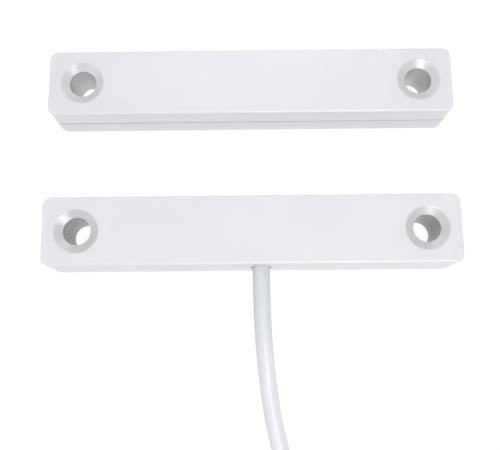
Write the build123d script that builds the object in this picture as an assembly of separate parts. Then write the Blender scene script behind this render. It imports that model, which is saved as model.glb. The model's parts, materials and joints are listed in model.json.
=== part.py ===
from build123d import *
import math
import os

# A wired magnetic contact for a door or window. The switch unit and the magnet unit are two
# bars of the same outline. Each is a pair of half shells that meet at a parting line half way
# up, held together by the two screws that fix the bar down.
# Origin: centre of the switch unit's mounting face. +X runs along the bars, +Y points from the
# switch unit to the magnet unit, +Z points out of the mounting surface. Millimetres.

# Both bars. The walls lean in towards the top by the draft angle, in degrees, and the parting
# line is a narrow shadow gap
LENGTH = 64.0
WIDTH = 11.0
HEIGHT = 7.4
SEAM_Z = HEIGHT / 2
CORNER_RADIUS = 1.6
TOP_EDGE_RADIUS = 0.3
DRAFT = 2.0
EDGE_BREAK = 0.12
SEAM_GAP = 0.2
SEAM_GAP_DEPTH = 0.3
WALL = 1.2
CAVITY_LENGTH = 43.0
CAVITY_WIDTH = WIDTH - 2 * WALL
CAVITY_RADIUS = 0.8
MAGNET_Y = 23.7

# Locating lip of the base, and the rebate in the cover that takes it
LIP_HEIGHT = 0.8
LIP_THICKNESS = 0.5
LIP_GAP = 0.05

# Screw holes, for a 3.5 mm countersunk screw
SCREW_PITCH = 53.0
SCREW_HOLE_RADIUS = 2.1
COUNTERSINK_RADIUS = 3.4
COUNTERSINK_DEPTH = 0.55
COUNTERSINK_RIM_RADIUS = 0.25
SPIGOT_RADIUS = 2.9

# Cable and its hole in the front wall
CABLE_DIAMETER = 2.65
CABLE_RADIUS = CABLE_DIAMETER / 2
CABLE_X = 1.4
CABLE_HOLE_RADIUS = 1.65
JACKET_END_Y = -1.9

# Circuit board, on posts that stand on the floor of the base
BOARD_LENGTH = 40.8
BOARD_WIDTH = 8.0
BOARD_THICKNESS = 0.8
BOARD_Z = 1.6
BOARD_TOP = BOARD_Z + BOARD_THICKNESS
BOARD_NOTCH_HALF = 3.1
BOARD_NOTCH_Y = -1.4
POST_X = 18.4
POST_Y = 2.6
POST_RADIUS = 1.1
PIN_RADIUS = 0.5
PIN_HOLE_RADIUS = 0.55

# Cable clamp and the ribs that hold it
CLAMP_HALF = 2.3
CLAMP_Y = (-3.9, -2.3)
CLAMP_TOP = 5.8
CLAMP_BORE_RADIUS = CABLE_RADIUS + 0.01
RIB_THICKNESS = 0.6
RIB_TOP = 3.0
FIT_GAP = 0.05

# Reed switch
REED_Y = 2.4
REED_Z = 3.75
GLASS_RADIUS = 1.1
GLASS_LENGTH = 14.0
GLASS_BORE_RADIUS = 0.8
GLASS_BORE_LENGTH = 10.8
LEAD_RADIUS = 0.25
LEAD_PAD_X = 10.4
BLADE_WIDTH = 1.0
BLADE_THICKNESS = 0.2
BLADE_GAP = 0.1
BLADE_OVERLAP = 0.5
BLADE_ROOT_X = 5.3

# Pads, solder and cores on the board
PAD_RADIUS = 0.85
PAD_THICKNESS = 0.05
PAD_TOP = BOARD_TOP + PAD_THICKNESS
SOLDER_RADIUS = 0.7
SOLDER_HEIGHT = 0.6
CORE_RADIUS = 0.375
CORE_OFFSET = 0.39
CORE_WIRE_RADIUS = 0.17
CORE_PADS = {
    "white": (-6.6, -2.0),
    "yellow": (-9.6, -0.4),
    "green": (9.0, -2.0),
    "brown": (12.0, -0.4),
}

# Magnet
MAGNET_SIZE = (26.0, 6.0, 4.2)
MAGNET_RIB_X = 9.0
PAD_SIZE = (20.0, 5.0)

# Cable on the mounting surface: from the jacket's end inside the wall to the coil, then the
# coil, then the last stretch, which comes down from the top turn and lies beside the coil
CABLE_ROUTE = [
    (1.4, JACKET_END_Y, SEAM_Z),
    (1.4, -9.4, SEAM_Z),
    (1.62, -15.6, 2.75),
    (2.15, -22.2, 1.325),
    (3.05, -28.8, 1.325),
    (4.75, -35.8, 1.325),
    (6.9, -44.6, 1.5),
    (8.3, -54.0, 1.725),
]
COIL_CENTRE = (-12.0, -58.6)
COIL_MID_RADIUS = 15.3
COIL_TURNS_WIDE = 5
COIL_TURNS_HIGH = 4
COIL_LIFT = 0.4
COIL_EDGE_RADIUS = 1.2
TIE_THICKNESS = 0.4
TIE_WIDTH = 2.6
TIE_BEARING = 200.0

# The last stretch: bearing from the coil's centre in degrees, radius and height
END_ROUTE = [
    (-5.0, 20.6, 9.675),
    (-27.0, 22.2, 9.0),
    (-48.0, 25.6, 6.0),
    (-68.0, 27.6, 2.9),
    (-87.0, 27.4, 1.325),
    (-105.0, 28.6, 1.325),
]
TAIL_LENGTH = 16.0
TAIL_TIP_LENGTH = 5.0
TAIL_SPREADS = {"white": -17.0, "yellow": -5.5, "green": 6.0, "brown": 18.0}


def save(shape, name):
    export_step(shape, f"parts/{name}.step")


def arc_radii(points):
    """The largest tangent arc that both runs at each corner have room for."""
    corners = [Vector(*p) for p in points]
    radii = []
    for before, here, after in zip(corners, corners[1:], corners[2:]):
        run_in = here - before
        run_out = after - here
        half_turn = math.radians(run_in.get_angle(run_out) / 2)
        shorter = min(run_in.length, run_out.length)
        radii.append(0.45 * shorter / math.tan(half_turn))
    return radii


def tube(points, radius, bends=None, label=None):
    """A round bar along straight runs joined by tangent arcs."""
    radii = bends or arc_radii(points)
    path = FilletPolyline(*points, radius=radii) if len(points) > 2 else Line(*points)
    start = Plane(origin=path @ 0, z_dir=path % 0)
    solid = sweep(start * Circle(radius), path=path)
    if label:
        share = solid.volume / (math.pi * radius**2 * path.length)
        print(label, "radii", [round(r, 1) for r in radii])
        print(label, "length", round(path.length, 1), "volume share", round(share, 4))
    return solid


def block(low, high):
    """A box between two corners."""
    size = [b - a for a, b in zip(low, high)]
    middle = [(a + b) / 2 for a, b in zip(low, high)]
    return Pos(*middle) * Box(*size)


def slab(low, high, length, width, radius):
    """A rectangular slice with rounded corners, between two heights."""
    return Pos(0, 0, low) * extrude(RectangleRounded(length, width, radius), high - low)


def outside(low, high, inset=0.0):
    """A slice of the bar's drafted outside, or of the same shape some way inside it."""
    lean = low * math.tan(math.radians(DRAFT)) + inset
    outline = RectangleRounded(LENGTH - 2 * lean, WIDTH - 2 * lean, CORNER_RADIUS - lean)
    return Pos(0, 0, low) * extrude(outline, high - low, taper=DRAFT)


def cavity(low, high, grow=0.0):
    """The room between the two screw bosses, or the same outline grown all round."""
    return slab(low, high, CAVITY_LENGTH + 2 * grow, CAVITY_WIDTH + 2 * grow, CAVITY_RADIUS + grow)


def post(x, y, low, high, radius):
    return Pos(x, y, (low + high) / 2) * Cylinder(radius, high - low)


def at_both_screws(shape):
    return [Pos(side * SCREW_PITCH / 2, 0, 0) * shape for side in (-1, 1)]


def cable_hole():
    along_y = Rot(90, 0, 0) * Cylinder(CABLE_HOLE_RADIUS, 2 * WALL)
    return Pos(CABLE_X, -WIDTH / 2 + WALL / 2, SEAM_Z) * along_y


def half_shell_base():
    """The lower half: floor, walls, screw holes and the lip that locates the cover."""
    shell = outside(0, SEAM_Z)
    shell = chamfer(shell.faces().sort_by(Axis.Z)[0].edges(), EDGE_BREAK)
    shell -= outside(SEAM_Z - SEAM_GAP, SEAM_Z) - outside(SEAM_Z - SEAM_GAP, SEAM_Z, SEAM_GAP_DEPTH)
    shell += cavity(SEAM_Z - LIP_HEIGHT, SEAM_Z + LIP_HEIGHT, LIP_THICKNESS)
    shell -= cavity(WALL, SEAM_Z + 2 * LIP_HEIGHT)
    for hole in at_both_screws(post(0, 0, -1, HEIGHT, SCREW_HOLE_RADIUS)):
        shell -= hole
    recess = post(0, 0, SEAM_Z - LIP_HEIGHT - LIP_GAP, HEIGHT, SPIGOT_RADIUS + LIP_GAP)
    for hole in at_both_screws(recess):
        shell -= hole
    return shell


def half_shell_cover():
    """The upper half: roof, walls, countersunk screw holes with spigots, and a rebate."""
    shell = outside(SEAM_Z, HEIGHT)
    shell = fillet(shell.faces().sort_by(Axis.Z)[-1].edges(), TOP_EDGE_RADIUS)
    for spigot in at_both_screws(post(0, 0, SEAM_Z - LIP_HEIGHT, SEAM_Z + 1, SPIGOT_RADIUS)):
        shell += spigot
    sink = Pos(0, 0, HEIGHT - COUNTERSINK_DEPTH / 2) * Cone(
        SCREW_HOLE_RADIUS, COUNTERSINK_RADIUS, COUNTERSINK_DEPTH
    )
    for cut in at_both_screws(post(0, 0, 0, HEIGHT + 1, SCREW_HOLE_RADIUS) + sink):
        shell -= cut
    rims = [
        edge
        for edge in shell.edges().filter_by(GeomType.CIRCLE)
        if abs(edge.radius - COUNTERSINK_RADIUS) < 0.01
    ]
    shell = fillet(rims, COUNTERSINK_RIM_RADIUS)
    shell -= cavity(SEAM_Z - 1, HEIGHT - WALL)
    shell -= cavity(SEAM_Z - 1, SEAM_Z + LIP_HEIGHT + LIP_GAP, LIP_THICKNESS + LIP_GAP)
    return shell


def switch_shells():
    base = half_shell_base() - cable_hole()
    cover = half_shell_cover() - cable_hole()
    for x in (-POST_X, POST_X):
        for y in (-POST_Y, POST_Y):
            base += post(x, y, WALL, BOARD_Z, POST_RADIUS)
    for x in (-POST_X, POST_X):
        base += post(x, 0, WALL, BOARD_TOP + 0.3, PIN_RADIUS)
    near, far = CLAMP_HALF + FIT_GAP, CLAMP_HALF + FIT_GAP + RIB_THICKNESS
    for low_x, high_x in ((CABLE_X - far, CABLE_X - near), (CABLE_X + near, CABLE_X + far)):
        base += block((low_x, CLAMP_Y[0], WALL), (high_x, CLAMP_Y[1], RIB_TOP))
    save(base, "switch_base")
    save(cover, "switch_cover")


def circuit_board():
    board = slab(BOARD_Z, BOARD_TOP, BOARD_LENGTH, BOARD_WIDTH, CAVITY_RADIUS)
    board -= block(
        (CABLE_X - BOARD_NOTCH_HALF, -BOARD_WIDTH, 0),
        (CABLE_X + BOARD_NOTCH_HALF, BOARD_NOTCH_Y, HEIGHT),
    )
    for x in (-POST_X, POST_X):
        board -= post(x, 0, 0, HEIGHT, PIN_HOLE_RADIUS)
    save(board, "circuit_board")


def cable_clamp():
    """A block pressed on the jacket; it sits between two ribs, behind the front wall."""
    clamp = block((CABLE_X - CLAMP_HALF, CLAMP_Y[0], WALL), (CABLE_X + CLAMP_HALF, CLAMP_Y[1], CLAMP_TOP))
    clamp = fillet(clamp.edges().filter_by(Axis.Y).group_by(Axis.Z)[-1], 0.8)
    bore = Pos(CABLE_X, sum(CLAMP_Y) / 2, SEAM_Z) * Rot(90, 0, 0) * Cylinder(CLAMP_BORE_RADIUS, WALL * 4)
    save(clamp - bore, "cable_clamp")


def reed_switch():
    """A glass tube with a wire fused into each end and a flat spring blade on each wire."""
    along_x = Pos(0, REED_Y, REED_Z) * Rot(0, 90, 0)
    glass = fillet(Cylinder(GLASS_RADIUS, GLASS_LENGTH).edges(), 0.7)
    glass -= fillet(Cylinder(GLASS_BORE_RADIUS, GLASS_BORE_LENGTH).edges(), 0.5)
    glass -= Cylinder(LEAD_RADIUS, GLASS_LENGTH + 1)
    save(along_x * glass, "reed_glass")
    for side, name in ((-1, "left"), (1, "right")):
        route = [
            (side * GLASS_BORE_LENGTH / 2, REED_Y, REED_Z),
            (side * LEAD_PAD_X, REED_Y, REED_Z),
            (side * LEAD_PAD_X, REED_Y, PAD_TOP),
        ]
        save(tube(route, LEAD_RADIUS, [0.6]), f"reed_lead_{name}")
        length = BLADE_ROOT_X + BLADE_OVERLAP / 2
        offset = side * (BLADE_GAP + BLADE_THICKNESS) / 2
        blade = block(
            (0, -BLADE_THICKNESS / 2, -BLADE_WIDTH / 2), (length, BLADE_THICKNESS / 2, BLADE_WIDTH / 2)
        )
        blade += Cylinder(BLADE_THICKNESS / 2, BLADE_WIDTH)
        turned = Rot(0, 0, 180 if side > 0 else 0) * blade
        save(Pos(side * BLADE_ROOT_X, REED_Y + offset, REED_Z) * turned, f"reed_blade_{name}")


def pad_places():
    return list(CORE_PADS.values()) + [(side * LEAD_PAD_X, REED_Y) for side in (-1, 1)]


def core_start(name):
    """Where a core leaves the jacket: two go left, two go right, one of each pair is lower."""
    pad_x, pad_y = CORE_PADS[name]
    side = -1 if pad_x < 0 else 1
    level = -1 if pad_y < -1 else 1
    return CABLE_X + side * CORE_OFFSET, SEAM_Z + level * CORE_OFFSET


def inner_cores():
    """The four cores from the jacket to their pads, and the bare wire at the end of each."""
    ends = []
    for name, (pad_x, pad_y) in CORE_PADS.items():
        side = -1 if pad_x < 0 else 1
        start_x, start_z = core_start(name)
        turn_y = pad_y + 1.2 if pad_y < -1 else pad_y + 0.9
        strip = (pad_x - side * 1.5, pad_y, PAD_TOP + 0.5)
        route = [
            (start_x, JACKET_END_Y, start_z),
            (start_x, turn_y, start_z),
            (strip[0] - side * 1.6, (turn_y + pad_y) / 2 + 0.1, start_z - 0.2),
            strip,
        ]
        save(tube(route, CORE_RADIUS, [0.8, 1.5]), f"core_{name}")
        ends.append(tube([strip, (pad_x, pad_y, PAD_TOP + 0.25)], CORE_WIRE_RADIUS))
    save(Compound(ends), "core_ends")
    return ends


def pads_and_joints(core_ends):
    pads = [post(x, y, BOARD_TOP, PAD_TOP, PAD_RADIUS) for x, y in pad_places()]
    save(Compound(pads), "board_pads")
    joints = []
    for x, y in pad_places():
        mound = Pos(x, y, PAD_TOP + SOLDER_HEIGHT / 2) * Cone(SOLDER_RADIUS, LEAD_RADIUS + 0.1, SOLDER_HEIGHT)
        for wire in core_ends:
            mound -= wire
        if y == REED_Y:
            mound -= post(x, y, BOARD_TOP, HEIGHT, LEAD_RADIUS)
        joints.append(mound)
    save(Compound(joints), "solder_joints")


def coil_profile(thickness=0.0):
    """The section of the wound coil, or the same section grown for the tie round it."""
    wide = COIL_TURNS_WIDE * CABLE_DIAMETER + 2 * thickness
    high = COIL_TURNS_HIGH * CABLE_DIAMETER + 2 * thickness
    middle_z = COIL_LIFT + COIL_TURNS_HIGH * CABLE_DIAMETER / 2
    return Plane.XZ * Pos(COIL_MID_RADIUS, middle_z) * RectangleRounded(wide, high, COIL_EDGE_RADIUS + thickness)


def coil_and_tie():
    ring = revolve(coil_profile(), Axis.Z, 360)
    save(Pos(*COIL_CENTRE, 0) * ring, "cable_coil")
    around = revolve(coil_profile(TIE_THICKNESS), Axis.Z, 360) - ring
    reach = 2 * COIL_MID_RADIUS
    band = around & block((0, -TIE_WIDTH / 2, -1), (reach, TIE_WIDTH / 2, reach))
    save(Pos(*COIL_CENTRE, 0) * Rot(0, 0, TIE_BEARING) * band, "coil_tie")


def end_point(bearing, radius, height):
    angle = math.radians(bearing)
    return (
        COIL_CENTRE[0] + radius * math.cos(angle),
        COIL_CENTRE[1] + radius * math.sin(angle),
        height,
    )


def free_cable():
    save(tube(CABLE_ROUTE, CABLE_RADIUS, label="cable"), "cable")
    points = [end_point(*step) for step in END_ROUTE]
    save(tube(points, CABLE_RADIUS, label="cable_end"), "cable_end")
    return Vector(*points[-2]), Vector(*points[-1])


def tails(before, end):
    """The four cores where the jacket is stripped back; they fan out and sag to the surface."""
    heading = (end - before).normalized()
    across = Vector(-heading.Y, heading.X, 0)
    tips = []
    for number, (name, spread) in enumerate(TAIL_SPREADS.items()):
        side = -1 if number < 2 else 1
        level = 1 if number in (1, 2) else -1
        start = end + across * (side * CORE_OFFSET) + Vector(0, 0, level * CORE_OFFSET)
        fan = heading.rotate(Axis.Z, spread)
        middle = start + heading.rotate(Axis.Z, spread / 2) * (TAIL_LENGTH * 0.3)
        last = middle + fan * (TAIL_LENGTH * 0.7)
        last = Vector(last.X, last.Y, CORE_RADIUS)
        save(tube([tuple(start), tuple(middle), tuple(last)], CORE_RADIUS), f"tail_{name}")
        onward = (last - middle).normalized()
        tip_end = last + Vector(onward.X, onward.Y, 0).normalized() * TAIL_TIP_LENGTH
        tips.append(tube([tuple(last), tuple(tip_end)], CORE_WIRE_RADIUS))
    save(Compound(tips), "tail_tips")


def magnet_unit():
    place = Pos(0, MAGNET_Y, 0)
    length, width, height = MAGNET_SIZE
    base = half_shell_base()
    for side in (-1, 1):
        near, far = length / 2 + FIT_GAP, length / 2 + FIT_GAP + 2 * RIB_THICKNESS
        low_x, high_x = sorted((side * near, side * far))
        base += block((low_x, -CAVITY_WIDTH / 2, WALL), (high_x, CAVITY_WIDTH / 2, RIB_TOP))
        for x in (-MAGNET_RIB_X, MAGNET_RIB_X):
            low_y, high_y = sorted((side * (width / 2 + FIT_GAP), side * CAVITY_WIDTH / 2))
            base += block((x - RIB_THICKNESS / 2, low_y, WALL), (x + RIB_THICKNESS / 2, high_y, RIB_TOP))
    save(place * base, "magnet_base")
    save(place * half_shell_cover(), "magnet_cover")
    magnet = block((-length / 2, -width / 2, WALL), (length / 2, width / 2, WALL + height))
    save(place * chamfer(magnet.edges(), 0.3), "bar_magnet")
    pad = block((-PAD_SIZE[0] / 2, -PAD_SIZE[1] / 2, WALL + height), (PAD_SIZE[0] / 2, PAD_SIZE[1] / 2, HEIGHT - WALL))
    save(place * pad, "magnet_pad")


os.makedirs("parts", exist_ok=True)
switch_shells()
circuit_board()
cable_clamp()
reed_switch()
pads_and_joints(inner_cores())
coil_and_tie()
tails(*free_cable())
magnet_unit()
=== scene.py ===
"""A wired door contact sensor: two white bars, a cable and its coil, on the CAD frame."""

import json
import math

import bmesh
import bpy
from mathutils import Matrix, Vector


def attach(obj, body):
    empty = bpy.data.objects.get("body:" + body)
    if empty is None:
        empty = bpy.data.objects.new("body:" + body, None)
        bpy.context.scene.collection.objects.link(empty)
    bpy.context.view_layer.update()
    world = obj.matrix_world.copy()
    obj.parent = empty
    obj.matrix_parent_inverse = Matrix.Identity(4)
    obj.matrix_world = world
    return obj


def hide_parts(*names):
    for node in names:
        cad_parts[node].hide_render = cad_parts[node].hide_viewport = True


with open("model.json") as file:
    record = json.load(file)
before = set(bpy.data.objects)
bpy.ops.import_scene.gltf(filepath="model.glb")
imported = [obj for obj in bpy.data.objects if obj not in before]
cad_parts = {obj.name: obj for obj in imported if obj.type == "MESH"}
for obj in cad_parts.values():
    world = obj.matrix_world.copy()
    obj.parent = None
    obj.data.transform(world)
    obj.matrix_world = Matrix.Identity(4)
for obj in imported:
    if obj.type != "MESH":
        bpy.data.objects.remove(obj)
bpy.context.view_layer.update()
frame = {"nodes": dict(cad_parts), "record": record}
NODES = frame["nodes"]
MM = 0.001
UP = Vector((0, 0, 1))
# Noise goes from 0 to 1, but is nearly always in this range
NOISE_RANGE = (0.3, 0.7)

# Both bars, in millimetres: where their screw holes, their seam and their upper edges are. An
# edge is that far sideways from the holes' line, or lengthwise from a hole.
BAR_HEIGHT = 7.4
MAGNET_Y = 23.7
HOLE_X = 26.5
BORE_RADIUS = 2.12
SINK_RADIUS = 3.6
# A countersink's painted shade is full from that share of its radius inwards
SINK_FADE = 0.86
SEAM_MIDDLE = 3.6
SEAM_HALF = 0.11
EDGE_STARTS = 4.85
EDGE_FULL = 5.1
EDGE_STARTS_BELOW_TOP = 0.35
EDGE_FULL_BELOW_TOP = 0.1

# The plastic's relief and patches, in millimetres, and the housings' finish
CAST_SIZE = 9.0
GLOSS_PATCH_SIZE = 1.1
GLOSS_PATCH_DETAIL = 4.0
PAINTED_SHADE_PATCH_SIZE = 1.2
PAINTED_SHADE_PATCH_DETAIL = 3.0
SINK_MARK_SIZE = 7.0
SINK_MARK_DEPTH = 0.02
HOUSING_GRAIN_SIZE = 0.22
HOUSING_GRAIN_DEPTH = 0.0025
RING_PITCH = 0.3
RING_DEPTH = 0.0012
HOUSING_ROUGHNESS = (0.31, 0.37)
TURNED_SMOOTHER_BY = 0.03
HOUSING_IOR = 1.54
HOUSING_SPECULAR = 0.55
# A paler colour along the upper edges: a painted highlight
EDGE_PAINTED_HIGHLIGHT = (0.775, 0.785, 0.81)

# Each bar: its middle, the painted shadow inside its seam, and the pairs of painted shades that
# its countersinks and its bores vary between
BARS = {
    "switch": {
        "middle_y": 0.0,
        "seam_painted_shadow": (0.72, 0.73, 0.75),
        "countersink_painted_shade": ((0.55, 0.555, 0.57), (0.57, 0.575, 0.595)),
        "bore": ((0.36, 0.365, 0.375), (0.38, 0.385, 0.395)),
    },
    "magnet": {
        "middle_y": MAGNET_Y,
        "seam_painted_shadow": (0.45, 0.45, 0.46),
        "countersink_painted_shade": ((0.595, 0.6, 0.615), (0.615, 0.62, 0.64)),
        "bore": ((0.58, 0.585, 0.6), (0.6, 0.605, 0.62)),
    },
}
# The two shades that each housing half's plastic varies between. The bases' shades carry painted
# light: the magnet base is darker by a painted shade, the switch base a touch paler
HALF_SHADES = {
    "switch_cover": ((0.725, 0.735, 0.765), (0.747, 0.757, 0.785)),
    "switch_base": ((0.73, 0.74, 0.768), (0.752, 0.762, 0.788)),
    "magnet_cover": ((0.725, 0.735, 0.765), (0.747, 0.757, 0.785)),
    "magnet_base": ((0.665, 0.675, 0.705), (0.687, 0.697, 0.725)),
}

# The cable, as in the CAD model, in millimetres: its route along the surface, the coil that it
# is wound into, and the last stretch, as bearing, radius and height about the coil's centre
CABLE_DIAMETER = 2.65
CABLE_ROUTE = [
    (1.4, -1.9, 3.7),
    (1.4, -9.4, 3.7),
    (1.62, -15.6, 2.75),
    (2.15, -22.2, 1.325),
    (3.05, -28.8, 1.325),
    (4.75, -35.8, 1.325),
    (6.9, -44.6, 1.5),
    (8.3, -54.0, 1.725),
]
COIL_CENTRE = Vector((-12.0, -58.6, 0.0))
COIL_START_BEARING = 12.8
COIL_END_BEARING = -5.0
COIL_MID_RADIUS = 15.3
COIL_TURNS_WIDE = 5
COIL_TURNS_HIGH = 4
COIL_LIFT = 0.4
POINTS_PER_TURN = 20
CROSSING_SHARE = 0.2
END_ROUTE = [
    (-27.0, 22.2, 9.0),
    (-48.0, 25.6, 6.0),
    (-68.0, 27.6, 2.9),
    (-87.0, 27.4, 1.325),
    (-105.0, 28.6, 1.325),
]

# The jacket is dull, and darkened by a painted shade, near the housing; it turns glossy and
# unshaded between these two values of Y, in millimetres; its insulated cores are made of the same
# vinyl
JACKET_SHADED_DULL_Y = -8.0
JACKET_UNSHADED_GLOSSY_Y = -24.0
JACKET_PAINTED_SHADE = (0.66, 0.68, 0.71)
JACKET_OWN_SHADES = ((0.73, 0.75, 0.785), (0.765, 0.78, 0.81))
JACKET_ROUGHNESS = (0.33, 0.4)
JACKET_DULLER_BY = 0.28
VINYL_IOR = 1.48
CORE_ROUGHNESS = 0.4
CORE_SHADES = {
    "core_white": ((0.74, 0.74, 0.72), (0.8, 0.8, 0.78)),
    "core_yellow": ((0.72, 0.5, 0.03), (0.8, 0.58, 0.05)),
    "core_green": ((0.02, 0.22, 0.06), (0.04, 0.3, 0.09)),
    "core_brown": ((0.12, 0.05, 0.02), (0.18, 0.08, 0.035)),
}

# The wire tie round the coil, in millimetres and degrees
TIE_BEARING = 200.0
TIE_WIDTH = 2.6
TIE_FILM = 0.16
TIE_WIRE_RADIUS = 0.17
# The film meets the wire that many wire radii from its axis, and rises over it at these bearings
TIE_WIRE_FOOT = 1.3
TIE_WIRE_BEARINGS = (35, 62, 90, 118, 145)
TIE_LOOP_GAP = 0.19
TIE_CORNER_RADIUS = 1.35
TIE_CORNER_STEPS = 8
TIE_STEM_HEIGHT = 8.6
TIE_STEM_LENGTH = 7.0
TIE_STEM_TURNS = 2.5
TIE_STEM_STEPS = 60
# The stem's direction, as shares outwards from the coil, sideways and upwards
TIE_STEM_HEADING = (0.8, -0.35, -0.5)
# Each strand's width, as a share of the ribbon's, at the stem's root and what it gains by the tip
TIE_STRAND_WIDTH = 0.55
TIE_STRAND_WIDENS = 0.25
# The strands part over the last share of the stem
TIE_TIP_SHARE = 0.2
TIE_TIP_SPREAD = 0.5

# The camera, in metres and radians, with its lens and sensor in millimetres
CAMERA_PLACE = (0.000015, -0.015495, 0.096268)
CAMERA_TURN = (0.17964, 0.00475, -0.00922)
CAMERA_LENS = 43.196
CAMERA_SENSOR = 36.0
CAMERA_NEAREST = 0.002
CAMERA_FARTHEST = 20.0

# How far off the lights stand, and the point on the floor that they face, in metres
LIGHT_DISTANCE = 0.42
LIGHTS_AIM = Vector((0, 0.01, 0))
# Each light: bearing and elevation in degrees, side in metres, power in watts
LIGHTS = {
    "front_light": (-63.0, 61.0, 0.12, 0.78),
    "overhead_light": (-68.0, 74.0, 0.06, 0.36),
    "high_back_light": (90.0, 68.0, 0.3, 0.17),
    "back_light": (90.0, 50.0, 0.16, 0.31),
    "left_light": (190.0, 50.0, 0.16, 0.27),
}
# The sky's brightness from the horizon to straight up, against the sine of the elevation
SKY = ((0.0, 0.82), (0.18, 0.42), (1.0, 0.0))
FLOOR_REACH = 3.0
FLOOR_SHADES = ((0.06, 0.06, 0.06), (0.08, 0.08, 0.08))
FLOOR_GLOW = 0.96


# ---------------------------------------------------------------- camera


def make_camera():
    """A camera above the bars that looks down on them and a little forwards."""
    data = bpy.data.cameras.new("camera")
    data.sensor_width = CAMERA_SENSOR
    data.sensor_fit = "HORIZONTAL"
    data.lens = CAMERA_LENS
    data.clip_start = CAMERA_NEAREST
    data.clip_end = CAMERA_FARTHEST
    camera = bpy.data.objects.new("camera", data)
    camera.location = CAMERA_PLACE
    camera.rotation_euler = CAMERA_TURN
    bpy.context.scene.collection.objects.link(camera)
    bpy.context.scene.camera = camera


# ---------------------------------------------------------------- materials


class Nodes:
    """A material's node tree, with short ways to add the nodes that this scene uses."""

    def __init__(self, name):
        self.material = bpy.data.materials.new(name)
        self.material.use_nodes = True
        self.tree = self.material.node_tree
        self.shader = self.tree.nodes["Principled BSDF"]
        self.coords = self.tree.nodes.new("ShaderNodeTexCoord")

    def link(self, source, target):
        self.tree.links.new(source, target)

    def axes(self):
        """A point's X, Y and Z in the object's frame, in metres."""
        split = self.tree.nodes.new("ShaderNodeSeparateXYZ")
        self.link(self.coords.outputs["Object"], split.inputs["Vector"])
        return [split.outputs[axis] for axis in "XYZ"]

    def noise(self, feature_mm, detail=2.0):
        """Noise whose features are about that many millimetres across."""
        texture = self.tree.nodes.new("ShaderNodeTexNoise")
        texture.inputs["Scale"].default_value = 1.0 / (feature_mm * MM)
        texture.inputs["Detail"].default_value = detail
        self.link(self.coords.outputs["Object"], texture.inputs["Vector"])
        return texture.outputs["Fac"]

    def ramp(self, value, low, high):
        """Colours from low to high as the value goes over noise's usual range."""
        ramp = self.tree.nodes.new("ShaderNodeValToRGB")
        for stop, position, colour in zip(ramp.color_ramp.elements, NOISE_RANGE, (low, high)):
            stop.position = position
            stop.color = (*colour, 1.0)
        self.link(value, ramp.inputs["Fac"])
        return ramp.outputs["Color"]

    def between(self, value, low, high):
        """A number from low to high as the value goes over noise's usual range."""
        scale = self.tree.nodes.new("ShaderNodeMapRange")
        scale.inputs["From Min"].default_value = NOISE_RANGE[0]
        scale.inputs["From Max"].default_value = NOISE_RANGE[1]
        scale.inputs["To Min"].default_value = low
        scale.inputs["To Max"].default_value = high
        self.link(value, scale.inputs["Value"])
        return scale.outputs["Result"]

    def math(self, operation, first, second=0.0):
        """One operation on two terms, each a number or another node's output."""
        node = self.tree.nodes.new("ShaderNodeMath")
        node.operation = operation
        for socket, term in zip(node.inputs, (first, second)):
            if isinstance(term, (int, float)):
                socket.default_value = term
            else:
                self.link(term, socket)
        return node.outputs["Value"]

    def mix(self, share, low, high):
        """Colours mixed from low to high; each is a colour or another node's output."""
        node = self.tree.nodes.new("ShaderNodeMix")
        node.data_type = "RGBA"
        self.link(share, node.inputs["Factor"])
        for socket, colour in ((node.inputs["A"], low), (node.inputs["B"], high)):
            if isinstance(colour, tuple):
                socket.default_value = (*colour, 1.0)
            else:
                self.link(colour, socket)
        return node.outputs["Result"]

    def fade(self, value, zero_at, one_at):
        """A share that goes smoothly from 0 to 1 between the two values."""
        scale = self.tree.nodes.new("ShaderNodeMapRange")
        scale.interpolation_type = "SMOOTHSTEP"
        scale.inputs["From Min"].default_value = zero_at
        scale.inputs["From Max"].default_value = one_at
        self.link(value, scale.inputs["Value"])
        return scale.outputs["Result"]

    def bump(self, height, depth_mm, after=None):
        """A relief of that depth, laid over an earlier one."""
        bump = self.tree.nodes.new("ShaderNodeBump")
        bump.inputs["Distance"].default_value = depth_mm * MM
        self.link(height, bump.inputs["Height"])
        if after:
            self.link(after, bump.inputs["Normal"])
        return bump.outputs["Normal"]


def sink_marks(n):
    """The slight hollows that thick moulded walls leave in their surface."""
    return n.bump(n.noise(SINK_MARK_SIZE, detail=1.0), depth_mm=SINK_MARK_DEPTH)


def moulded_plastic(name, low, high, rough, cast_mm=CAST_SIZE, grain_mm=0.22, grain_depth_mm=0.004):
    """Satin moulded plastic: a faint cast, a fine grain and slight sink marks."""
    n = Nodes(name)
    n.link(n.ramp(n.noise(cast_mm), low, high), n.shader.inputs["Base Color"])
    patches = n.noise(GLOSS_PATCH_SIZE, detail=GLOSS_PATCH_DETAIL)
    uneven = n.between(patches, rough - 0.04, rough + 0.05)
    n.link(uneven, n.shader.inputs["Roughness"])
    grain = n.bump(n.noise(grain_mm, detail=3.0), depth_mm=grain_depth_mm, after=sink_marks(n))
    n.link(grain, n.shader.inputs["Normal"])
    n.shader.inputs["IOR"].default_value = 1.5
    return n.material


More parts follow.
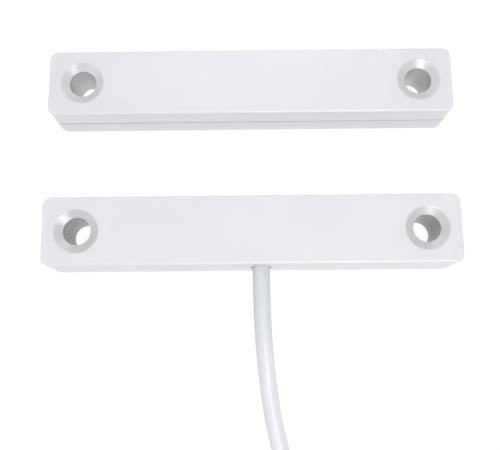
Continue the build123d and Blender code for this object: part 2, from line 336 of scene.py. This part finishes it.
def housing_zones(n, bar):
    """The distance from the nearer hole's axis, and how far a point is in each zone, 0 to 1."""
    x, y, z = n.axes()
    along = n.math("SUBTRACT", n.math("ABSOLUTE", x), HOLE_X * MM)
    across = n.math("ABSOLUTE", n.math("SUBTRACT", y, bar["middle_y"] * MM))
    squares = n.math("ADD", n.math("POWER", along, 2.0), n.math("POWER", across, 2.0))
    radius = n.math("SQRT", squares)

    sunk = n.fade(radius, SINK_RADIUS * MM, SINK_RADIUS * SINK_FADE * MM)
    upper_half = n.math("GREATER_THAN", z, BAR_HEIGHT / 2 * MM)
    from_seam = n.math("ABSOLUTE", n.math("SUBTRACT", z, SEAM_MIDDLE * MM))
    outward = n.fade(n.math("MAXIMUM", along, across), EDGE_STARTS * MM, EDGE_FULL * MM)
    edge_starts = (BAR_HEIGHT - EDGE_STARTS_BELOW_TOP) * MM
    edge_full = (BAR_HEIGHT - EDGE_FULL_BELOW_TOP) * MM
    zones = {
        # Painted shade on the countersinks' cones, which also carry turned rings and a smoother
        # finish
        "turned": n.math("MULTIPLY", sunk, upper_half),
        # Painted shade down the bores
        "bore": n.math("LESS_THAN", radius, BORE_RADIUS * MM),
        # Painted shadow along the seam
        "seam_painted_shadow": n.math("LESS_THAN", from_seam, SEAM_HALF * MM),
        # Painted highlight along the upper edges
        "edge": n.math("MULTIPLY", outward, n.fade(z, edge_starts, edge_full)),
    }
    return radius, zones


def housing_colour(n, shades, bar, zones):
    """White, with a painted highlight on its edges, and painted shade in seam, countersinks and
    bores.
    """
    painted_shade_patches = n.noise(PAINTED_SHADE_PATCH_SIZE, detail=PAINTED_SHADE_PATCH_DETAIL)
    colour = n.mix(zones["edge"], n.ramp(n.noise(CAST_SIZE), *shades), EDGE_PAINTED_HIGHLIGHT)
    colour = n.mix(zones["seam_painted_shadow"], colour, bar["seam_painted_shadow"])
    colour = n.mix(zones["turned"], colour, n.ramp(painted_shade_patches, *bar["countersink_painted_shade"]))
    return n.mix(zones["bore"], colour, n.ramp(painted_shade_patches, *bar["bore"]))


def housing_relief(n, radius, zones):
    """Slight sink marks and a fine grain, with turned rings on the countersinks' cones."""
    pattern = n.noise(HOUSING_GRAIN_SIZE, detail=3.0)
    grain = n.bump(pattern, depth_mm=HOUSING_GRAIN_DEPTH, after=sink_marks(n))
    rings = n.math("SINE", n.math("MULTIPLY", radius, 2 * math.pi / (RING_PITCH * MM)))
    cone = n.math("MULTIPLY", zones["turned"], n.math("SUBTRACT", 1.0, zones["bore"]))
    return n.bump(n.math("MULTIPLY", rings, cone), depth_mm=RING_DEPTH, after=grain)


def housing_plastic(name, shades, bar):
    """The white plastic of one housing half; the turned countersinks are a little smoother."""
    n = Nodes(name)
    radius, zones = housing_zones(n, bar)
    n.link(housing_colour(n, shades, bar, zones), n.shader.inputs["Base Color"])
    rough = n.between(n.noise(GLOSS_PATCH_SIZE, detail=GLOSS_PATCH_DETAIL), *HOUSING_ROUGHNESS)
    smoother = n.math("MULTIPLY", zones["turned"], TURNED_SMOOTHER_BY)
    n.link(n.math("SUBTRACT", rough, smoother), n.shader.inputs["Roughness"])
    n.link(housing_relief(n, radius, zones), n.shader.inputs["Normal"])
    n.shader.inputs["IOR"].default_value = HOUSING_IOR
    n.shader.inputs["Specular IOR Level"].default_value = HOUSING_SPECULAR
    return n.material


def extruded_plastic(name, low, high, rough):
    """Core insulation: smooth, with a slightly uneven surface."""
    n = Nodes(name)
    n.link(n.ramp(n.noise(5.0), low, high), n.shader.inputs["Base Color"])
    uneven = n.between(n.noise(0.8, detail=3.0), rough - 0.05, rough + 0.05)
    n.link(uneven, n.shader.inputs["Roughness"])
    n.link(n.bump(n.noise(0.35, detail=2.0), depth_mm=0.003), n.shader.inputs["Normal"])
    n.shader.inputs["IOR"].default_value = VINYL_IOR
    return n.material


def jacket_plastic():
    """The cable's jacket: satin, but duller near the housing, and darker there by a painted shade.
    """
    n = Nodes("jacket_pvc")
    along_route = n.axes()[1]
    # Painted shade: the jacket's colour darkens towards the housing
    painted_shade_and_dullness = n.fade(along_route, JACKET_UNSHADED_GLOSSY_Y * MM, JACKET_SHADED_DULL_Y * MM)
    own_colour = n.ramp(n.noise(5.0), *JACKET_OWN_SHADES)
    n.link(n.mix(painted_shade_and_dullness, own_colour, JACKET_PAINTED_SHADE), n.shader.inputs["Base Color"])
    rough = n.between(n.noise(0.8, detail=3.0), *JACKET_ROUGHNESS)
    duller = n.math("MULTIPLY", painted_shade_and_dullness, JACKET_DULLER_BY)
    n.link(n.math("ADD", rough, duller), n.shader.inputs["Roughness"])
    n.link(n.bump(n.noise(0.35, detail=3.0), depth_mm=0.006), n.shader.inputs["Normal"])
    n.shader.inputs["IOR"].default_value = VINYL_IOR
    return n.material


def metal(name, low, high, rough):
    """Bare metal, slightly tarnished and uneven."""
    n = Nodes(name)
    n.link(n.ramp(n.noise(0.8), low, high), n.shader.inputs["Base Color"])
    uneven = n.between(n.noise(0.4, detail=3.0), rough - 0.04, rough + 0.06)
    n.link(uneven, n.shader.inputs["Roughness"])
    n.link(n.bump(n.noise(0.3), depth_mm=0.004), n.shader.inputs["Normal"])
    n.shader.inputs["Metallic"].default_value = 1.0
    return n.material


def glass(name):
    """Clear, faintly green glass."""
    n = Nodes(name)
    tint = n.ramp(n.noise(2.0), (0.86, 0.94, 0.9), (0.92, 0.97, 0.95))
    n.link(tint, n.shader.inputs["Base Color"])
    n.link(n.between(n.noise(0.8), 0.02, 0.06), n.shader.inputs["Roughness"])
    n.shader.inputs["Transmission Weight"].default_value = 1.0
    n.shader.inputs["IOR"].default_value = 1.5
    return n.material


def foam(name):
    """Black open foam: dark cells between paler walls."""
    n = Nodes(name)
    cells = n.noise(0.35, detail=6.0)
    n.link(n.ramp(cells, (0.03, 0.03, 0.035), (0.11, 0.11, 0.12)), n.shader.inputs["Base Color"])
    n.link(n.bump(cells, depth_mm=0.12), n.shader.inputs["Normal"])
    n.shader.inputs["Roughness"].default_value = 0.9
    return n.material


def tie_film(name):
    """Matt plastic film over a wire, slightly creased."""
    n = Nodes(name)
    colour = n.ramp(n.noise(3.0), (0.6, 0.61, 0.62), (0.68, 0.69, 0.7))
    n.link(colour, n.shader.inputs["Base Color"])
    n.link(n.between(n.noise(0.5, detail=3.0), 0.42, 0.58), n.shader.inputs["Roughness"])
    n.link(n.bump(n.noise(0.6, detail=3.0), depth_mm=0.03), n.shader.inputs["Normal"])
    return n.material


def slot_finishes():
    """The finish of every material slot inside the housings and at the stripped end."""
    solder_mask = ((0.02, 0.15, 0.06), (0.03, 0.19, 0.08))
    nylon = ((0.5, 0.51, 0.52), (0.56, 0.57, 0.58))
    ferrite = ((0.03, 0.03, 0.033), (0.06, 0.06, 0.065))
    finishes = {
        "board": moulded_plastic("solder_mask", *solder_mask, rough=0.3, cast_mm=2.0),
        "clamp_plastic": moulded_plastic("clamp_nylon", *nylon, rough=0.5),
        "ferrite": moulded_plastic(
            "ferrite", *ferrite, rough=0.6, cast_mm=1.5, grain_mm=0.3, grain_depth_mm=0.02
        ),
        "copper": metal("copper", (0.75, 0.38, 0.24), (0.83, 0.47, 0.32), rough=0.34),
        "solder": metal("solder", (0.62, 0.63, 0.65), (0.74, 0.75, 0.77), rough=0.34),
        "reed_metal": metal("nickel_iron", (0.5, 0.48, 0.44), (0.6, 0.58, 0.54), rough=0.33),
        "tinned_wire": metal("tinned_copper", (0.66, 0.65, 0.63), (0.8, 0.79, 0.78), rough=0.36),
        "glass": glass("reed_glass"),
        "foam": foam("foam"),
    }
    for core, shades in CORE_SHADES.items():
        finishes[core] = extruded_plastic(core, *shades, CORE_ROUGHNESS)
    return finishes


def give_finish(node, finish):
    """Puts a finish on all of a CAD node's surface."""
    for place in node.material_slots:
        place.material = finish


def dress_nodes():
    """Gives every CAD node that stays its own finish."""
    for name, shades in HALF_SHADES.items():
        bar = BARS[name.split("_")[0]]
        give_finish(NODES[name], housing_plastic(f"{name}_plastic", shades, bar))
    finishes = slot_finishes()
    for row in frame["record"]["subparts"]:
        finish = finishes.get(row["material_slot"])
        if finish:
            give_finish(NODES[row["node"]], finish)


# ---------------------------------------------------------------- cable


def flat_direction(bearing):
    """The level direction at that bearing, in degrees anticlockwise from +X."""
    angle = math.radians(bearing)
    return Vector((math.cos(angle), math.sin(angle), 0))


def around_coil(bearing, radius, height):
    """A point at that bearing, radius and height about the coil's centre."""
    return COIL_CENTRE + flat_direction(bearing) * radius + UP * height


def turn_place(turn):
    """Radius and height of one turn: each layer is wound inwards or outwards in its order."""
    layer, step = divmod(turn, COIL_TURNS_WIDE)
    inward = step if layer % 2 == 0 else COIL_TURNS_WIDE - 1 - step
    outermost = COIL_MID_RADIUS + (COIL_TURNS_WIDE - 1) / 2 * CABLE_DIAMETER
    return outermost - inward * CABLE_DIAMETER, COIL_LIFT + (layer + 0.5) * CABLE_DIAMETER


def coil_points():
    """The wound turns. Each keeps its radius, then crosses to the next turn's place."""
    turns = COIL_TURNS_WIDE * COIL_TURNS_HIGH
    # The spline cuts inside its control points, so they stand that much further out
    swell = 1 / math.cos(math.pi / POINTS_PER_TURN)
    extra = (COIL_START_BEARING - COIL_END_BEARING) / 360
    points = []
    for step in range(1, round((turns + extra) * POINTS_PER_TURN) + 1):
        turn, share = divmod(step / POINTS_PER_TURN, 1)
        here = turn_place(min(int(turn), turns - 1))
        after = turn_place(min(int(turn) + 1, turns - 1))
        blend = max(0.0, (share - 1 + CROSSING_SHARE) / CROSSING_SHARE)
        blend = blend * blend * (3 - 2 * blend)
        radius = (here[0] + (after[0] - here[0]) * blend) * swell
        height = here[1] + (after[1] - here[1]) * blend
        bearing = COIL_START_BEARING - 360 * step / POINTS_PER_TURN
        points.append(around_coil(bearing, radius, height))
    return points


def make_cable(finish):
    """The jacket from the clamp to its stripped end, as one smooth spline."""
    points = [Vector(place) for place in CABLE_ROUTE]
    points += coil_points()
    points += [around_coil(*place) for place in END_ROUTE]
    data = bpy.data.curves.new("cable_line", "CURVE")
    data.dimensions = "3D"
    data.resolution_u = 4
    data.bevel_depth = CABLE_DIAMETER / 2 * MM
    data.bevel_resolution = 6
    data.use_fill_caps = True
    data.twist_mode = "MINIMUM"
    spline = data.splines.new("NURBS")
    spline.points.add(len(points) - 1)
    for place, point in zip(spline.points, points):
        place.co = (*(point * MM), 1.0)
    spline.order_u = 3
    spline.use_endpoint_u = True
    data.materials.append(finish)
    cable = bpy.data.objects.new("cable_jacket", data)
    bpy.context.scene.collection.objects.link(cable)
    return cable


# ---------------------------------------------------------------- tie


def tie_loop():
    """The loop's centre line in its own plane: radius, height, and outward as radius, height."""
    half_wide = COIL_TURNS_WIDE * CABLE_DIAMETER / 2 + TIE_LOOP_GAP
    half_high = COIL_TURNS_HIGH * CABLE_DIAMETER / 2 + TIE_LOOP_GAP
    middle = COIL_LIFT + COIL_TURNS_HIGH * CABLE_DIAMETER / 2
    places = []
    for start, side_r, side_z in ((0, 1, 1), (90, -1, 1), (180, -1, -1), (270, 1, -1)):
        corner_r = COIL_MID_RADIUS + side_r * (half_wide - TIE_CORNER_RADIUS)
        corner_z = middle + side_z * (half_high - TIE_CORNER_RADIUS)
        for step in range(TIE_CORNER_STEPS + 1):
            angle = math.radians(start + 90 * step / TIE_CORNER_STEPS)
            out_r, out_z = math.cos(angle), math.sin(angle)
            place = (corner_r + TIE_CORNER_RADIUS * out_r, corner_z + TIE_CORNER_RADIUS * out_z)
            places.append((*place, out_r, out_z))
    return places


def ribbon_section():
    """Points round the ribbon, as across and out: flat film with a round wire in its middle."""
    edge = TIE_WIDTH / 2
    film = TIE_FILM / 2
    foot = TIE_WIRE_RADIUS * TIE_WIRE_FOOT
    upper = [(edge, 0.0), (edge - film, film), (foot, film)]
    for degrees in TIE_WIRE_BEARINGS:
        angle = math.radians(degrees)
        upper.append((TIE_WIRE_RADIUS * math.cos(angle), TIE_WIRE_RADIUS * math.sin(angle)))
    upper += [(-foot, film), (film - edge, film)]
    return upper + [(-across, -out) for across, out in upper]


def add_ribbon(mesh, stations, closed):
    """Sweeps the ribbon's section through stations of centre, across and outward directions."""
    section = ribbon_section()
    rings = []
    for centre, across, outward in stations:
        corners = [centre + across * side + outward * out for side, out in section]
        rings.append([mesh.verts.new(corner * MM) for corner in corners])
    pairs = list(zip(rings, rings[1:]))
    if closed:
        pairs.append((rings[-1], rings[0]))
    for ring, following in pairs:
        for k in range(len(section)):
            after = (k + 1) % len(section)
            mesh.faces.new((ring[k], ring[after], following[after], following[k]))
    if not closed:
        mesh.faces.new(reversed(rings[0]))
        mesh.faces.new(rings[-1])


def stem_strand(root, heading, bearing):
    """Stations along one strand of the twisted stem, from that bearing about its axis."""
    first = heading.cross(UP).normalized()
    second = heading.cross(first)
    stations = []
    for step in range(TIE_STEM_STEPS + 1):
        share = step / TIE_STEM_STEPS
        angle = math.radians(bearing + 360 * TIE_STEM_TURNS * share)
        outward = first * math.cos(angle) + second * math.sin(angle)
        parted = max(0.0, share - 1 + TIE_TIP_SHARE) / TIE_TIP_SHARE
        spread = TIE_WIRE_RADIUS + TIE_TIP_SPREAD * parted
        centre = root + heading * TIE_STEM_LENGTH * share + outward * spread
        across = heading.cross(outward) * (TIE_STRAND_WIDTH + TIE_STRAND_WIDENS * share)
        stations.append((centre, across, outward))
    return stations


def tie_mesh():
    """A loop round the wound turns and a twisted stem folded out beside it."""
    radial = flat_direction(TIE_BEARING)
    sideways = flat_direction(TIE_BEARING + 90)
    mesh = bmesh.new()
    loop = []
    for radius, height, out_r, out_z in tie_loop():
        centre = around_coil(TIE_BEARING, radius, height)
        loop.append((centre, sideways, radial * out_r + UP * out_z))
    add_ribbon(mesh, loop, closed=True)

    outer = COIL_MID_RADIUS + COIL_TURNS_WIDE * CABLE_DIAMETER / 2
    root = around_coil(TIE_BEARING, outer + 2 * TIE_WIRE_RADIUS, TIE_STEM_HEIGHT)
    outwards, along, upwards = TIE_STEM_HEADING
    heading = (radial * outwards + sideways * along + UP * upwards).normalized()
    for bearing in (0, 180):
        add_ribbon(mesh, stem_strand(root, heading, bearing), closed=False)

    bmesh.ops.recalc_face_normals(mesh, faces=mesh.faces)
    data = bpy.data.meshes.new("twist_tie")
    mesh.to_mesh(data)
    mesh.free()
    return data


def make_tie(finish):
    """The wire twist tie that holds the coil."""
    data = tie_mesh()
    for face in data.polygons:
        face.use_smooth = True
    data.materials.append(finish)
    tie = bpy.data.objects.new("twist_tie", data)
    bpy.context.scene.collection.objects.link(tie)
    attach(tie, "switch_unit")
    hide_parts("coil_tie")
    return tie


# ---------------------------------------------------------------- surroundings


def soft_light(name, bearing, elevation, side, power):
    """A square softbox that faces the object from that bearing and elevation, in degrees."""
    data = bpy.data.lights.new(name, "AREA")
    data.shape = "SQUARE"
    data.size = side
    data.energy = power
    lamp = bpy.data.objects.new(name, data)
    elevation = math.radians(elevation)
    towards = flat_direction(bearing) * math.cos(elevation) + UP * math.sin(elevation)
    lamp.location = towards * LIGHT_DISTANCE + LIGHTS_AIM
    lamp.rotation_euler = towards.to_track_quat("Z", "Y").to_euler()
    lamp.visible_camera = False
    bpy.context.scene.collection.objects.link(lamp)


def make_floor():
    """A plain white light table, so the floor stays white right up to the object."""
    mesh = bpy.data.meshes.new("floor")
    signs = ((-1, -1), (1, -1), (1, 1), (-1, 1))
    corners = [(x * FLOOR_REACH, y * FLOOR_REACH, 0) for x, y in signs]
    mesh.from_pydata(corners, [], [(0, 1, 2, 3)])
    floor = bpy.data.objects.new("floor", mesh)
    n = Nodes("floor_paint")
    n.link(n.ramp(n.noise(60.0), *FLOOR_SHADES), n.shader.inputs["Base Color"])
    n.shader.inputs["Roughness"].default_value = 0.9
    n.shader.inputs["Specular IOR Level"].default_value = 0.2
    n.shader.inputs["Emission Color"].default_value = (1.0, 1.0, 1.0, 1.0)
    n.shader.inputs["Emission Strength"].default_value = FLOOR_GLOW
    mesh.materials.append(n.material)
    bpy.context.scene.collection.objects.link(floor)


def make_sky():
    """A soft dome that is palest at the horizon and fades to black straight up."""
    world = bpy.data.worlds.new("studio")
    world.use_nodes = True
    nodes, links = world.node_tree.nodes, world.node_tree.links
    direction = nodes.new("ShaderNodeTexCoord")
    split = nodes.new("ShaderNodeSeparateXYZ")
    ramp = nodes.new("ShaderNodeValToRGB")
    while len(ramp.color_ramp.elements) < len(SKY):
        ramp.color_ramp.elements.new(0.5)
    for stop, (position, level) in zip(ramp.color_ramp.elements, SKY):
        stop.position = position
        stop.color = (level, level, level, 1.0)
    links.new(direction.outputs["Generated"], split.inputs["Vector"])
    links.new(split.outputs["Z"], ramp.inputs["Fac"])
    links.new(ramp.outputs["Color"], nodes["Background"].inputs["Color"])
    nodes["Background"].inputs["Strength"].default_value = 1.0
    bpy.context.scene.world = world


def make_studio():
    """The floor, the sky and the softboxes."""
    make_floor()
    make_sky()
    for name, light in LIGHTS.items():
        soft_light(name, *light)
    bpy.context.scene.view_settings.view_transform = "Standard"


# ---------------------------------------------------------------- the object

make_camera()
cable = make_cable(jacket_plastic())
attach(cable, "switch_unit")
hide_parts("cable", "cable_coil", "cable_end")

tie = make_tie(tie_film("tie_film"))

dress_nodes()
make_studio()
